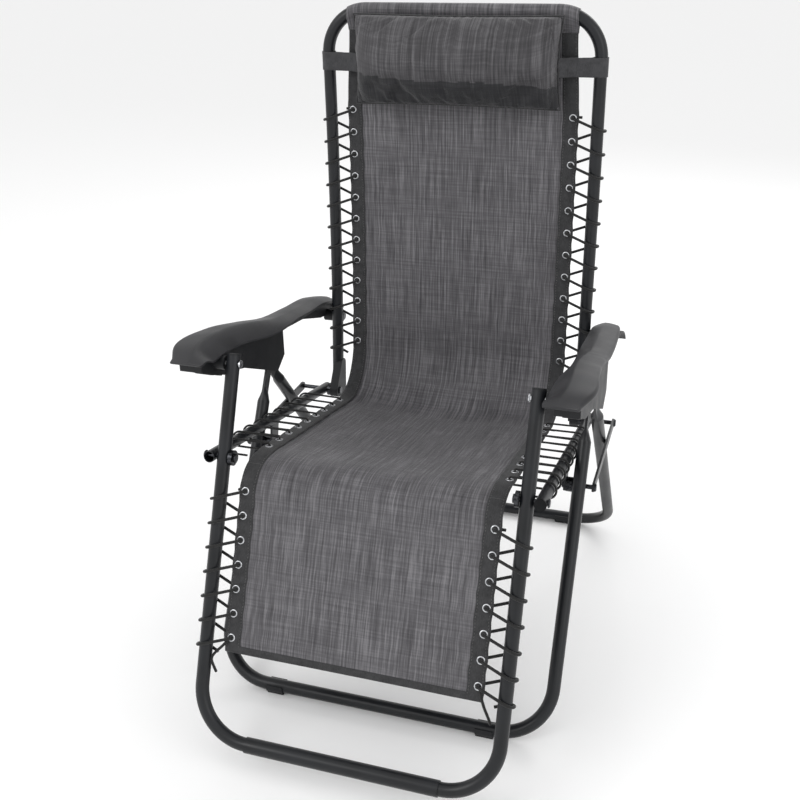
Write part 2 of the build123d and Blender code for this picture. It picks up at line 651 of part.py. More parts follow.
def headrest_pillow():
    """Stuffed pillow, oval in section."""
    middle = ((PILLOW_Y[0] + PILLOW_Y[1]) / 2, (PILLOW_Z[0] + PILLOW_Z[1]) / 2)
    oval = Pos(*middle) * Ellipse((PILLOW_Y[1] - PILLOW_Y[0]) / 2, (PILLOW_Z[1] - PILLOW_Z[0]) / 2)
    return plate_x(oval, 0, 2 * PILLOW_HALF)


def headrest_straps():
    """Elastic bands from the pillow ends, looped round both back tubes."""
    height = STRAP_Z[1] - STRAP_Z[0]
    inner_r = TUBE_R + STRAP_GAP
    loop = Pos(BACK_X, BACK_STRAIGHT_Y) * (Circle(inner_r + STRAP_T) - Circle(inner_r))
    flat_y = BACK_STRAIGHT_Y - inner_r - STRAP_T / 2
    flat = Pos((BACK_X + PILLOW_HALF) / 2, flat_y) * Rectangle(BACK_X - PILLOW_HALF, STRAP_T)
    return both_sides(Pos(0, 0, STRAP_Z[0]) * extrude(loop + flat, height))


nodes["headrest_pillow"] = headrest_pillow()
nodes["headrest_straps"] = headrest_straps()


os.makedirs("parts", exist_ok=True)
for name, shape in nodes.items():
    placed = Pos(0, -ORIGIN_Y, 0) * shape
    placed.label = name
    export_step(placed, f"parts/{name}.step")
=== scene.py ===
import json
import math
from functools import lru_cache

import bmesh
import bpy
import numpy as np
from mathutils import Matrix, Vector, noise


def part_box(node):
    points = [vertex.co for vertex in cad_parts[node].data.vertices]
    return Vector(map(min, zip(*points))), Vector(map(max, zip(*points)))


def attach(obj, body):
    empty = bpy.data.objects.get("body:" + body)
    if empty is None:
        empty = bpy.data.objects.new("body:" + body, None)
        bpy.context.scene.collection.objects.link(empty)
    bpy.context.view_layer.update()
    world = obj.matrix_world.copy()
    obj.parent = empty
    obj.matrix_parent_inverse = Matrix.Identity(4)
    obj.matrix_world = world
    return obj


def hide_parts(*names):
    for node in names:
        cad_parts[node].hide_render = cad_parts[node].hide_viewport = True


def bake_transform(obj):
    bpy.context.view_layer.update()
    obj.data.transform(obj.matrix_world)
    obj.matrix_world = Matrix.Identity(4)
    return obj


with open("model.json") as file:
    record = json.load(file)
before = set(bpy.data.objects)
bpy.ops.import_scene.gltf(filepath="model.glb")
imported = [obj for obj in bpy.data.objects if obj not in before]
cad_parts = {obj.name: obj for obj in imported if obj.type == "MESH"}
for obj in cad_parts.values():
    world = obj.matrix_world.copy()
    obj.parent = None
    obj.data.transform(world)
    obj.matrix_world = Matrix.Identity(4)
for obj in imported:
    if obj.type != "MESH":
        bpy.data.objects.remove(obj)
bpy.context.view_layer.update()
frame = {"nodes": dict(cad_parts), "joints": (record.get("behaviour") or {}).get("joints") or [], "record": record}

NODES = frame["nodes"]
PIVOT = {j["name"]: Vector(j["pos_m"]) for j in frame["joints"] if "pos_m" in j}
MM = 0.001


# ---- camera, floor and light ----
CAMERA_AT = Vector((0.4902, -1.58265, 1.2594))
CAMERA_YAW = math.radians(18.133)
CAMERA_DOWN = math.radians(24.564)
CAMERA_ROLL = math.radians(-1.0805)


def add_camera():
    right = Vector((math.cos(CAMERA_YAW), math.sin(CAMERA_YAW), 0))
    ahead = Vector((-math.sin(CAMERA_YAW) * math.cos(CAMERA_DOWN),
                    math.cos(CAMERA_YAW) * math.cos(CAMERA_DOWN), -math.sin(CAMERA_DOWN)))
    up = right.cross(ahead)
    tilted_right = right * math.cos(CAMERA_ROLL) + up * math.sin(CAMERA_ROLL)
    tilted_up = up * math.cos(CAMERA_ROLL) - right * math.sin(CAMERA_ROLL)
    data = bpy.data.cameras.new("camera")
    data.lens = 47.26
    data.sensor_width = 36.0
    data.shift_x = -0.0043
    data.shift_y = -0.0175
    camera = bpy.data.objects.new("camera", data)
    turn = Matrix((tilted_right, tilted_up, -ahead)).transposed().to_4x4()
    camera.matrix_world = Matrix.Translation(CAMERA_AT) @ turn
    bpy.context.scene.collection.objects.link(camera)
    bpy.context.scene.camera = camera


def add_light(name, place, aim, size, power):
    data = bpy.data.lights.new(name, "AREA")
    data.shape = "RECTANGLE"
    data.size, data.size_y = size
    data.energy = power
    light = bpy.data.objects.new(name, data)
    light.location = place
    light.rotation_euler = (Vector(aim) - Vector(place)).to_track_quat("-Z", "Y").to_euler()
    bpy.context.scene.collection.objects.link(light)


def add_studio():
    floor_mesh = bpy.data.meshes.new("floor")
    reach = 40.0
    floor_mesh.from_pydata([(-reach, -reach, 0), (reach, -reach, 0), (reach, reach, 0), (-reach, reach, 0)],
                           [], [(0, 1, 2, 3)])
    floor = bpy.data.objects.new("floor", floor_mesh)
    bpy.context.scene.collection.objects.link(floor)
    pale = bpy.data.materials.new("pale_floor")
    pale.use_nodes = True
    shader = pale.node_tree.nodes["Principled BSDF"]
    shader.inputs["Base Color"].default_value = (0.93, 0.93, 0.93, 1)
    shader.inputs["Roughness"].default_value = 0.7
    floor_mesh.materials.append(pale)
    world = bpy.data.worlds.new("studio")
    world.use_nodes = True
    world.node_tree.nodes["Background"].inputs["Color"].default_value = (1.0, 1.0, 1.0, 1)
    world.node_tree.nodes["Background"].inputs["Strength"].default_value = 0.95
    bpy.context.scene.world = world
    bpy.context.scene.view_settings.view_transform = "Standard"
    add_light("key", (-2.2, -2.6, 2.9), (0, 0, 0.6), (2.2, 1.6), 42)
    add_light("fill", (2.6, -1.6, 1.8), (0, 0, 0.5), (1.6, 2.2), 16)
    add_light("back", (0.6, 2.8, 2.6), (0, 0, 0.7), (2.4, 1.2), 30)


# ---- materials ----
class Paint:
    """A node material: its shader, and short ways to add texture nodes."""

    def __init__(self, name, roughness, metallic=0.0, sheen=0.0, coat=0.0, specular=0.5):
        self.material = bpy.data.materials.new(name)
        self.material.use_nodes = True
        self.tree = self.material.node_tree
        self.shader = self.tree.nodes["Principled BSDF"]
        self.shader.inputs["Roughness"].default_value = roughness
        self.shader.inputs["Metallic"].default_value = metallic
        self.shader.inputs["Sheen Weight"].default_value = sheen
        self.shader.inputs["Sheen Roughness"].default_value = 0.4
        self.shader.inputs["Coat Weight"].default_value = coat
        self.shader.inputs["Coat Roughness"].default_value = 0.25
        self.shader.inputs["Specular IOR Level"].default_value = specular

    def node(self, kind, **values):
        made = self.tree.nodes.new(kind)
        for key, value in values.items():
            setattr(made, key, value)
        return made

    def link(self, output, socket):
        self.tree.links.new(output, socket)

    def place(self, scale, attribute=None, turn=0.0):
        """Texture place, scaled and turned: the object's own metres, or a named vertex attribute."""
        if attribute:
            source = self.node("ShaderNodeAttribute", attribute_name=attribute).outputs["Vector"]
        else:
            source = self.node("ShaderNodeTexCoord").outputs["Object"]
        mapping = self.node("ShaderNodeMapping")
        mapping.inputs["Scale"].default_value = scale
        mapping.inputs["Rotation"].default_value = (0, 0, turn)
        self.link(source, mapping.inputs["Vector"])
        return mapping.outputs["Vector"]

    def noise(self, scale, attribute=None, detail=3.0):
        texture = self.node("ShaderNodeTexNoise")
        texture.inputs["Scale"].default_value = 1.0
        texture.inputs["Detail"].default_value = detail
        self.link(self.place(scale, attribute), texture.inputs["Vector"])
        return texture.outputs["Fac"]

    def wave(self, scale, attribute, turn=0.0):
        """Even stripes across the mapped X axis, one for each unit."""
        texture = self.node("ShaderNodeTexWave", wave_type="BANDS", bands_direction="X")
        texture.inputs["Scale"].default_value = 0.314
        self.link(self.place(scale, attribute, turn), texture.inputs["Vector"])
        return texture.outputs["Fac"]

    def math(self, operation, a, b):
        made = self.node("ShaderNodeMath", operation=operation)
        for socket, value in zip(made.inputs, (a, b)):
            if isinstance(value, (int, float)):
                socket.default_value = value
            else:
                self.link(value, socket)
        return made.outputs[0]

    def ramp(self, factor, stops):
        """Colours over a factor; a stop is (place, grey or colour)."""
        made = self.node("ShaderNodeValToRGB")
        while len(made.color_ramp.elements) < len(stops):
            made.color_ramp.elements.new(0.5)
        for element, (place, colour) in zip(made.color_ramp.elements, stops):
            element.position = place
            rgb = (colour,) * 3 if isinstance(colour, (int, float)) else colour
            element.color = (*rgb, 1)
        self.link(factor, made.inputs["Fac"])
        return made.outputs["Color"]

    def colour(self, factor, stops):
        self.link(self.ramp(factor, stops), self.shader.inputs["Base Color"])

    def rough(self, factor, low, high):
        self.link(self.ramp(factor, [(0.3, low), (0.7, high)]), self.shader.inputs["Roughness"])

    def bump(self, height, distance, strength=1.0):
        made = self.node("ShaderNodeBump")
        made.inputs["Distance"].default_value = distance
        made.inputs["Strength"].default_value = strength
        self.link(height, made.inputs["Height"])
        self.link(made.outputs["Normal"], self.shader.inputs["Normal"])


YARN = 1.5 * MM          # pitch of the woven yarns


def mesh_cloth(name, dark, middle, light):
    """Coarse woven mesh: light and dark yarns as broken streaks both ways, over the yarn grid."""
    paint = Paint(name, 0.62, sheen=0.15, specular=0.35)
    warp = paint.noise((330, 9, 1), "cloth", 2.0)
    fine_warp = paint.noise((800, 30, 1), "cloth", 1.0)
    weft = paint.noise((12, 300, 1), "cloth", 2.0)
    patch = paint.noise((14, 9, 1), "cloth", 2.0)
    streaks = paint.math("ADD", paint.math("MULTIPLY", warp, 0.48), paint.math("MULTIPLY", weft, 0.20))
    streaks = paint.math("ADD", streaks, paint.math("MULTIPLY", fine_warp, 0.22))
    streaks = paint.math("ADD", streaks, paint.math("MULTIPLY", patch, 0.10))
    across = paint.wave((1 / YARN, 0, 0), "cloth")
    along = paint.wave((1 / YARN, 1 / YARN, 1), "cloth", math.radians(90))
    grid = paint.math("MULTIPLY", across, along)
    paint.colour(streaks, [(0.36, dark), (0.5, middle), (0.63, light)])
    relief = paint.math("ADD", paint.math("MULTIPLY", grid, 0.6), paint.math("MULTIPLY", streaks, 0.8))
    paint.bump(relief, 0.5 * MM, 0.8)
    return paint.material


def webbing(name, colour, light):
    """Tight woven tape with fine cross ribs."""
    paint = Paint(name, 0.8, sheen=0.2, specular=0.3)
    ribs = paint.noise((1400, 250, 250))
    mottle = paint.noise((90, 90, 90))
    paint.colour(paint.math("ADD", paint.math("MULTIPLY", ribs, 0.6), paint.math("MULTIPLY", mottle, 0.4)),
                 [(0.35, colour), (0.68, light)])
    paint.bump(ribs, 0.3 * MM, 0.7)
    return paint.material


def powder_coat():
    """Satin black powder coat on tube, with a faint orange peel and dulled patches."""
    paint = Paint("powder_coat", 0.36, coat=0.08, specular=0.35)
    peel = paint.noise((420, 420, 420), detail=2.0)
    wear = paint.noise((16, 16, 16), detail=4.0)
    paint.colour(wear, [(0.35, (0.004, 0.0047, 0.006)), (0.7, (0.009, 0.0102, 0.0128))])
    paint.rough(wear, 0.30, 0.46)
    paint.bump(peel, 0.12 * MM, 0.35)
    return paint.material


def moulding(name, dark, light, low, high):
    """Grained plastic moulding."""
    paint = Paint(name, 0.5, specular=0.3)
    grain = paint.noise((900, 900, 900), detail=2.0)
    cloud = paint.noise((22, 22, 22), detail=4.0)
    paint.colour(paint.math("ADD", paint.math("MULTIPLY", cloud, 0.75), paint.math("MULTIPLY", grain, 0.25)),
                 [(0.35, dark), (0.68, light)])
    paint.rough(cloud, low, high)
    paint.bump(grain, 0.2 * MM, 0.6)
    return paint.material


def plated_steel(name, dull, bright):
    """Plated steel with fine turning marks and dull spots."""
    paint = Paint(name, 0.3, metallic=1.0)
    marks = paint.noise((60, 1500, 1500), detail=2.0)
    spots = paint.noise((260, 260, 260))
    paint.colour(spots, [(0.35, dull), (0.65, bright)])
    paint.rough(spots, 0.2, 0.4)
    paint.bump(marks, 0.05 * MM, 0.5)
    return paint.material


def elastic_braid():
    """Braided cover of the elastic lace."""
    paint = Paint("elastic_braid", 0.7, sheen=0.2, specular=0.3)
    braid = paint.noise((900, 900, 900), detail=1.0)
    paint.colour(braid, [(0.35, 0.006), (0.65, 0.020)])
    paint.bump(braid, 0.35 * MM, 0.9)
    return paint.material


add_camera()
add_studio()
CLOTH = mesh_cloth("sling_mesh",
                   (0.040, 0.038, 0.042), (0.092, 0.089, 0.096), (0.175, 0.170, 0.180))
PILLOW_CLOTH = mesh_cloth("pillow_mesh",
                          (0.022, 0.021, 0.023), (0.050, 0.048, 0.052), (0.105, 0.102, 0.108))
# Darker copy of the pillow cloth: painted shade for the pillow's underside and back.
PILLOW_PAINTED_SHADE = mesh_cloth("pillow_painted_shade",
                         (0.006, 0.006, 0.008), (0.014, 0.014, 0.016), (0.035, 0.035, 0.038))
EDGE_TAPE = webbing("edge_tape", (0.020, 0.020, 0.021), (0.048, 0.048, 0.050))
STRAP_TAPE = webbing("strap_tape", (0.030, 0.030, 0.032), (0.062, 0.062, 0.066))
THREAD = webbing("thread", (0.05, 0.05, 0.05), (0.11, 0.11, 0.11))
COAT = powder_coat()
ARM_PLASTIC = moulding("arm_plastic", (0.021, 0.021, 0.023), (0.037, 0.037, 0.040), 0.42, 0.58)
BLACK_PLASTIC = moulding("black_plastic", (0.006, 0.0065, 0.0078), (0.014, 0.0148, 0.0165), 0.45, 0.62)
ZINC = plated_steel("zinc_steel", (0.42, 0.43, 0.45), (0.72, 0.73, 0.75))
BLACK_STEEL = plated_steel("blackened_steel", (0.025, 0.026, 0.029), (0.07, 0.072, 0.078))
BRAID = elastic_braid()
BY_SLOT = {"frame_black": COAT, "plastic_black": BLACK_PLASTIC, "arm_plastic": ARM_PLASTIC,
           "zinc_steel": ZINC, "mesh_grey": CLOTH, "elastic_black": BRAID, "pillow_dark": PILLOW_CLOTH,
           "band_dark": STRAP_TAPE}


BLACKENED = ("seat_pivot_bolts", "back_hinge_bolts", "footrest_hinge_bolts", "rear_arm_bolts",
             "seat_pivot_bushes", "back_hinge_bushes", "footrest_hinge_bushes", "arm_hinge_bushes",
             "lever_pins")


def smooth_by_angle(mesh, degrees=32.0):
    """Shade smooth, with sharp edges where two faces meet at more than an angle."""
    mesh.polygons.foreach_set("use_smooth", [True] * len(mesh.polygons))
    mesh.set_sharp_from_angle(angle=math.radians(degrees))


for row in frame["record"]["subparts"]:
    node = NODES[row["node"]]
    smooth_by_angle(node.data)
    material = BLACK_STEEL if row["node"] in BLACKENED else BY_SLOT[row["material_slot"]]
    for holder in node.material_slots:
        holder.material = material


# ---- helpers for pieces ----
def piece(name, verts, faces, material, cloth=None):
    """New mesh object; cloth gives each vertex its place on the flat cloth."""
    mesh = bpy.data.meshes.new(name)
    mesh.from_pydata(verts, [], faces)
    mesh.materials.append(material)
    mesh.polygons.foreach_set("use_smooth", [True] * len(mesh.polygons))
    if cloth is not None:
        mark_cloth(mesh, cloth)
    mesh.update()
    made = bpy.data.objects.new(name, mesh)
    bpy.context.scene.collection.objects.link(made)
    return made


def mark_cloth(mesh, places):
    attribute = mesh.attributes.new("cloth", "FLOAT_VECTOR", "POINT")
    attribute.data.foreach_set("vector", np.array(places, np.float32).ravel())


def grid_faces(rows, columns, closed=False):
    """Quads of a grid of rows x columns vertices; closed joins the last column to the first."""
    faces = []
    for r in range(rows - 1):
        for c in range(columns if closed else columns - 1):
            d = (c + 1) % columns
            faces.append((r * columns + c, r * columns + d, (r + 1) * columns + d, (r + 1) * columns + c))
    return faces


def tube_faces(rows, columns):
    """Closed sweep: quads round the side and a cap at both ends."""
    caps = [tuple(reversed(range(columns))), tuple(range((rows - 1) * columns, rows * columns))]
    return grid_faces(rows, columns, closed=True) + caps


def solidify(made, thickness, offset=0.0):
    modifier = made.modifiers.new("thickness", "SOLIDIFY")
    modifier.thickness = thickness
    modifier.offset = offset
    return made


def smoothstep(low, high, value):
    t = min(1.0, max(0.0, (value - low) / (high - low)))
    return t * t * (3 - 2 * t)


# ---- the sling's side profile ----
TUBE_R = 11 * MM
BACK_CORNER_R = 75 * MM
BACK_STRAIGHT_Z = 923 * MM
BACK_CURVE_R = 4980 * MM
BACK_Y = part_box("back_frame")[1].y - TUBE_R
BACK_TOP_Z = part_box("back_frame")[1].z - TUBE_R
HIP = PIVOT["recline"]
KNEE = PIVOT["footrest_swing"]
FOOT_BAR = sum(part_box("footrest_sleeve"), Vector()) / 2
SLING_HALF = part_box("seat_sling")[1].x


def flat(y, z):
    return Vector((y, z))


def back_place(z):
    """(y, z) of the back tube's middle line."""
    drop = max(0.0, BACK_STRAIGHT_Z - z)
    return flat(BACK_Y - (BACK_CURVE_R - math.sqrt(BACK_CURVE_R ** 2 - drop ** 2)), z)


def on_line(start, end, distance):
    a, b = flat(start.y, start.z), flat(end.y, end.z)
    return a + (b - a).normalized() * distance


def bend(start, control, end, steps=24):
    """Points of a quadratic curve, without its two ends."""
    return [(1 - t) ** 2 * start + 2 * t * (1 - t) * control + t * t * end
            for t in (i / steps for i in range(1, steps))]


class Profile:
    """The cloth's line from the top bar to the footrest hem, by distance along it."""

    def __init__(self):
        top, back_low = BACK_TOP_Z - 26 * MM, 464 * MM
        seat_in, seat_out = on_line(HIP, KNEE, 73 * MM), on_line(HIP, KNEE, 414 * MM)
        seat_mid = on_line(HIP, KNEE, 245 * MM)
        foot_in, foot_out = on_line(KNEE, FOOT_BAR, 42 * MM), on_line(KNEE, FOOT_BAR, 309 * MM)
        points = [back_place(top + (back_low - top) * i / 60) for i in range(61)]
        marks = {"top": 0, "back_low": 60}
        points += bend(points[-1], flat(HIP.y + 8 * MM, HIP.z + 2 * MM), seat_in)
        marks["hip_split"] = 60 + 13
        marks["seat_in"] = len(points)
        points += [seat_in, seat_mid]
        marks["seat_mid"] = len(points) - 1
        points.append(seat_out)
        marks["seat_out"] = len(points) - 1
        points += bend(seat_out, flat(KNEE.y, KNEE.z), foot_in)
        marks["knee_split"] = marks["seat_out"] + 12
        marks["foot_in"] = len(points)
        points += [foot_in, foot_out]
        marks["foot_out"] = len(points) - 1
        self.points = np.array([tuple(p) for p in points])
        steps = np.linalg.norm(np.diff(self.points, axis=0), axis=1)
        self.distance = np.concatenate([[0.0], np.cumsum(steps)])
        self.mark = {name: float(self.distance[i]) for name, i in marks.items()}

    def at(self, s):
        """(y, z) and the unit normal on the hidden side at a distance."""
        ahead, behind = self.place(s + 3 * MM), self.place(s - 3 * MM)
        run = (ahead - behind).normalized()
        return self.place(s), flat(-run.y, run.x)

    def place(self, s):
        last = len(self.distance) - 1
        i = int(np.clip(np.searchsorted(self.distance, s) - 1, 0, last - 1))
        t = (s - self.distance[i]) / (self.distance[i + 1] - self.distance[i])
        a, b = self.points[i], self.points[i + 1]
        return flat(*(a + (b - a) * t))


PROFILE = Profile()
MARK = PROFILE.mark
HIP_FOLDS = [(MARK["back_low"] + 96 * MM, MARK["back_low"] + 16 * MM),
             (MARK["back_low"] + 108 * MM, MARK["back_low"] + 106 * MM)]      # s at the left and right edge


def eyelet_spots():
    """Middle and axis of every steel eyelet: the frame's rings on the +X side and their mirror images."""
    found = {}
    for name in ("back_grommets", "seat_grommets", "footrest_grommets"):
        form = bmesh.new()
        form.from_mesh(NODES[name].data)
        bmesh.ops.remove_doubles(form, verts=form.verts, dist=1e-5)
        seen, spots = set(), []
        for start in form.verts:
            if start in seen:
                continue
            group, stack = [], [start]
            seen.add(start)
            while stack:
                vert = stack.pop()
                group.append(vert.co.copy())
                for edge in vert.link_edges:
                    other = edge.other_vert(vert)
                    if other not in seen:
                        seen.add(other)
                        stack.append(other)
            middle = sum(group, Vector()) / len(group)
            spread = np.array([tuple(p - middle) for p in group])
            axis = Vector(np.linalg.svd(spread, full_matrices=False)[2][2])
            if middle.x > 0:
                spots.append((middle, axis))
                spots.append((Vector((-middle.x, middle.y, middle.z)), Vector((-axis.x, axis.y, axis.z))))
        form.free()
        found[name] = spots
    return found


EYELETS = eyelet_spots()


def eyelet_distances():
    """Distance along the profile of every eyelet on one side, in order."""
    found = []
    for spots in EYELETS.values():
        for middle, _ in spots:
            if middle.x > 0:
                gaps = np.linalg.norm(PROFILE.points - np.array([middle.y, middle.z]), axis=1)
                i = int(np.argmin(gaps))
                before, after = max(0, i - 1), min(len(gaps) - 1, i + 1)
                near = np.linspace(PROFILE.distance[before], PROFILE.distance[after], 200)
                far = [(PROFILE.place(s) - flat(middle.y, middle.z)).length for s in near]
                found.append(float(near[int(np.argmin(far))]))
    return sorted(found)


EYELET_S = eyelet_distances()


def sag(s):
    """How far the cloth's middle hangs behind its edges."""
    back = 5 * MM * smoothstep(0.05, 0.25, s)
    seat = 7 * MM * smoothstep(MARK["back_low"] - 0.1, MARK["seat_in"], s)
    front = smoothstep(MARK["seat_out"] - 0.10, MARK["knee_split"], s)
    foot = 2.5 * MM * (1 - smoothstep(MARK["foot_in"], MARK["foot_out"], s))
    return (back + seat) * (1 - front) + foot * front


def half_width(s):
    """Half width of the cloth: narrower at the top bar, and drawn out a little at each eyelet."""
    top = (SLING_HALF - 7 * MM) + 7 * MM * smoothstep(0.0, 0.14, s)
    nearest = min(abs(s - e) for e in EYELET_S)
    return top - 1.3 * MM * smoothstep(4 * MM, 20 * MM, nearest)


@lru_cache(maxsize=None)
def row_facts(s):
    """Place, hidden normal, half width and sag of the cloth at a distance along it."""
    (y, z), hidden = PROFILE.at(s)
    return y, z, hidden, half_width(s), sag(s)


def hip_folds(x, s):
    """Two shallow folds that fan out across the bend between back and seat."""
    depth = 0.0
    for left, right in HIP_FOLDS:
        middle = left + (right - left) * (x / (2 * SLING_HALF) + 0.5)
        width = 5 * MM + 5 * MM * (x / (2 * SLING_HALF) + 0.5)
        depth += math.exp(-((s - middle) / width) ** 2)
    return depth


def cloth_point(x_share, s, lift=0.0, x_shift=0.0):
    """Place on the cloth: x_share from -1 to 1 across, s along, lift off its hidden side."""
    y, z, hidden, half, drop = row_facts(s)
    x = x_share * half + x_shift
    ripple = noise.noise(Vector((x * 9, s * 7, 3.1))) * 1.8 + noise.noise(Vector((x * 24, s * 16, 8.4))) * 0.6
    calm = 1 - abs(x_share) ** 4
    depth = drop * (1 - x_share ** 2) + (ripple + 3.2 * hip_folds(x, s)) * MM * calm + lift
    return Vector((x, y + hidden.x * depth, z + hidden.y * depth))


ROW_STEP = 9 * MM
SECTIONS = {
    "back": (MARK["top"], MARK["hip_split"], "back_link", "back", "back_low"),
    "rear_seat": (MARK["hip_split"], MARK["seat_mid"], "seat", "back_link", "seat_in"),
    "front_seat": (MARK["seat_mid"], MARK["knee_split"], "seat", "footrest_link", "seat_out"),
    "footrest": (MARK["knee_split"], MARK["foot_out"], "footrest_link", "footrest", "foot_in"),
}


def rows_between(start, end, step=ROW_STEP):
    """Even rows, with closer ones beside both ends so that shading runs on over a join."""
    count = max(2, round((end - start) / step))
    even = [start + (end - start) * i / count for i in range(count + 1)]
    return sorted(even + [start + 1 * MM, start + 3 * MM, end - 3 * MM, end - 1 * MM])


def join_bodies(made, section):
    """Bake a sling piece's transform into its mesh; the two bodies that its section lies on are read but nothing
    is bent or attached.
    """
    first, second, fixed = SECTIONS[section][2:]
    split = {"back": "hip_split", "rear_seat": "hip_split"}.get(section, "knee_split")
    near = Vector((0, *PROFILE.place(MARK[fixed])))
    middle = Vector((0, *PROFILE.place(MARK[split])))
    if section in ("back", "footrest"):
        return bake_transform(made)
    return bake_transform(made)


def sling_panel(section):
    start, end = SECTIONS[section][:2]
    rows = rows_between(start, end)
    columns = [math.sin(math.pi / 2 * (i / 24 - 1)) * 0.35 + (i / 24 - 1) * 0.65 for i in range(49)]
    verts = [cloth_point(c, s) for s in rows for c in columns]
    places = [(c * SLING_HALF, s, 0) for s in rows for c in columns]
    made = piece(f"{section}_cloth", verts, grid_faces(len(rows), len(columns)), CLOTH, places)
    solidify(made, 1.2 * MM).modifiers["thickness"].use_rim = False
    return join_bodies(made, section)


TAPE_W = 27 * MM
TAPE_T = 1.5 * MM


def tape_section():
    """(inward from the edge, lift) outline of the tape folded over the cloth's edge."""
    flat_side = [(TAPE_W, TAPE_T * 0.6), (TAPE_W - 1 * MM, TAPE_T),
                 (TAPE_W / 2, TAPE_T * 1.05), (1.5 * MM, TAPE_T)]
    fold = [(TAPE_T * (1 - math.cos(a)) - 0.6 * MM, TAPE_T * math.sin(a))
            for a in (math.radians(d) for d in (-45, 0, 45))]
    return [(inward, -lift) for inward, lift in flat_side] + fold + flat_side[::-1]


def edge_tapes(section):
    """Both side tapes of one section, folded over the cloth's edge."""
    start, end = SECTIONS[section][:2]
    outline = tape_section()
    rows = rows_between(start, end, 6 * MM)
    verts, faces = [], []
    for side in (-1, 1):
        base = len(verts)
        for s in rows:
            for inward, lift in outline:
                verts.append(cloth_point(side, s, lift, -side * inward))
        loop = tube_faces(len(rows), len(outline))
        faces += [tuple(base + i for i in (face if side > 0 else reversed(face))) for face in loop]
    made = piece(f"{section}_edge_tapes", verts, faces, EDGE_TAPE)
    return join_bodies(made, section)


STITCH_PITCH = 5 * MM
STITCH_R = 0.45 * MM


def add_stitch(verts, faces, place, reach, radius):
    """One short raised stitch; place(run, side, rise) gives a point by offsets along, across and up."""
    base = len(verts)
    for k, size in ((-1, 0.5), (-0.5, 1), (0.5, 1), (1, 0.5)):
        for turn in range(4):
            a = math.pi / 2 * turn
            verts.append(place(k * reach, radius * size * math.cos(a), radius * size * math.sin(a)))
    faces += [tuple(base + j for j in face) for face in tube_faces(4, 4)]


def stitches(section):
    """Two rows of raised stitches along both side tapes."""
    start, end = SECTIONS[section][:2]
    verts, faces = [], []
    count = int((end - start) / STITCH_PITCH)
    for side in (-1, 1):
        for inward in (TAPE_W - 3 * MM, 3 * MM):
            for i in range(count):
                s = start + (i + 0.5) * STITCH_PITCH
                for lift in (-TAPE_T - 0.15 * MM, TAPE_T + 0.15 * MM):
                    def place(run, across, rise):
                        return cloth_point(side, s + run, lift + rise, -side * inward + across)
                    add_stitch(verts, faces, place, 1.5 * MM, STITCH_R)
    made = piece(f"{section}_stitches", verts, faces, THREAD)
    return join_bodies(made, section)


REPLACED = {"back": "back_sling", "rear_seat": "seat_sling", "footrest": "footrest_sling"}

for section in SECTIONS:
    panel = sling_panel(section)
    tapes = edge_tapes(section)
    thread = stitches(section)
    if section in REPLACED:
        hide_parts(REPLACED[section])


# ---- the sleeve round the top bar, and the hem at the footrest ----
SLEEVE_HALF = SLING_HALF - 7 * MM


def bar_drop(x):
    """How far the top bar's middle has bent down at x, and the slope there."""
    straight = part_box("back_frame")[1].x - TUBE_R - BACK_CORNER_R
    over = max(0.0, abs(x) - straight)
    rise = math.sqrt(BACK_CORNER_R ** 2 - over ** 2)
    return BACK_CORNER_R - rise, over / rise


def top_sleeve():
    """Cloth turned over the top bar and sewn to the panel below it."""
    tail_z = -34 * MM
    radius = TUBE_R + 1.1 * MM
    columns = [SLEEVE_HALF * (i / 40 - 1) for i in range(81)]
    arc = [math.radians(d) for d in range(-20, 201, 10)]
    rows = [(-1.1 * MM, tail_z), (-1.3 * MM, tail_z + 4 * MM), (-2.6 * MM, tail_z + 10 * MM)]
    rows += [(-radius * math.cos(a), radius * math.sin(a)) for a in arc]
    rows += [(2.6 * MM, tail_z + 10 * MM), (1.3 * MM, tail_z + 4 * MM), (1.1 * MM, tail_z)]
    verts, places, run = [], [], 0.0
    for i, (dy, dz) in enumerate(rows):
        if i:
            run += math.hypot(dy - rows[i - 1][0], dz - rows[i - 1][1])
        for x in columns:
            drop, slope = bar_drop(x)
            stretch = math.hypot(1, slope)
            crease = 0.5 * MM * noise.noise(Vector((x * 40, i * 0.35, 1.7))) * (1 if dz < radius * 0.9 else 0)
            sink = drop if dz > -radius else drop * smoothstep(tail_z, -radius, dz)
            lift = dz * stretch if dz > 0 else dz
            swell = 1.04 if dz > 0 else 1.0
            verts.append((x, BACK_Y + dy * swell + math.copysign(crease, dy), BACK_TOP_Z - sink + lift))
            places.append((x, -run, 0))
    made = piece("top_sleeve", verts, grid_faces(len(rows), len(columns)), CLOTH, places)
    solidify(made, 0.9 * MM)
    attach(made, "back")


def foot_hem():
    """Narrow black binding along the footrest's lower edge."""
    end = MARK["foot_out"]
    verts, count = [], 60
    outline = [(-11, -1.2), (-10, -1.7), (-2, -1.8), (0.6, -1.2), (1.2, 0),
               (0.6, 1.2), (-2, 1.8), (-10, 1.7), (-11, 1.2)]
    onward = Vector((0, *(PROFILE.place(end) - PROFILE.place(end - 1 * MM))))
    for i in range(count + 1):
        share = 2 * i / count - 1
        for along, lift in outline:
            point = cloth_point(share, end + min(along, 0) * MM, lift * MM)
            verts.append(point + onward * max(along, 0))
    made = piece("footrest_hem", verts, tube_faces(count + 1, len(outline)), EDGE_TAPE)
    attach(made, "footrest")


def top_stitches():
    """Sewn line across the front of the top sleeve's tail."""
    verts, faces = [], []
    count = 84
    for i in range(count):
        middle = SLEEVE_HALF * (2 * (i + 0.5) / count - 1) * 0.97
        level = BACK_TOP_Z - 29 * MM - bar_drop(middle)[0] * 0.15

        def place(run, across, rise):
            return middle + run, BACK_Y - 2.5 * MM + rise, level + across
        add_stitch(verts, faces, place, 1.6 * MM, 0.5 * MM)
    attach(piece("top_stitches", verts, faces, THREAD), "back")


top_sleeve()
top_stitches()
foot_hem()


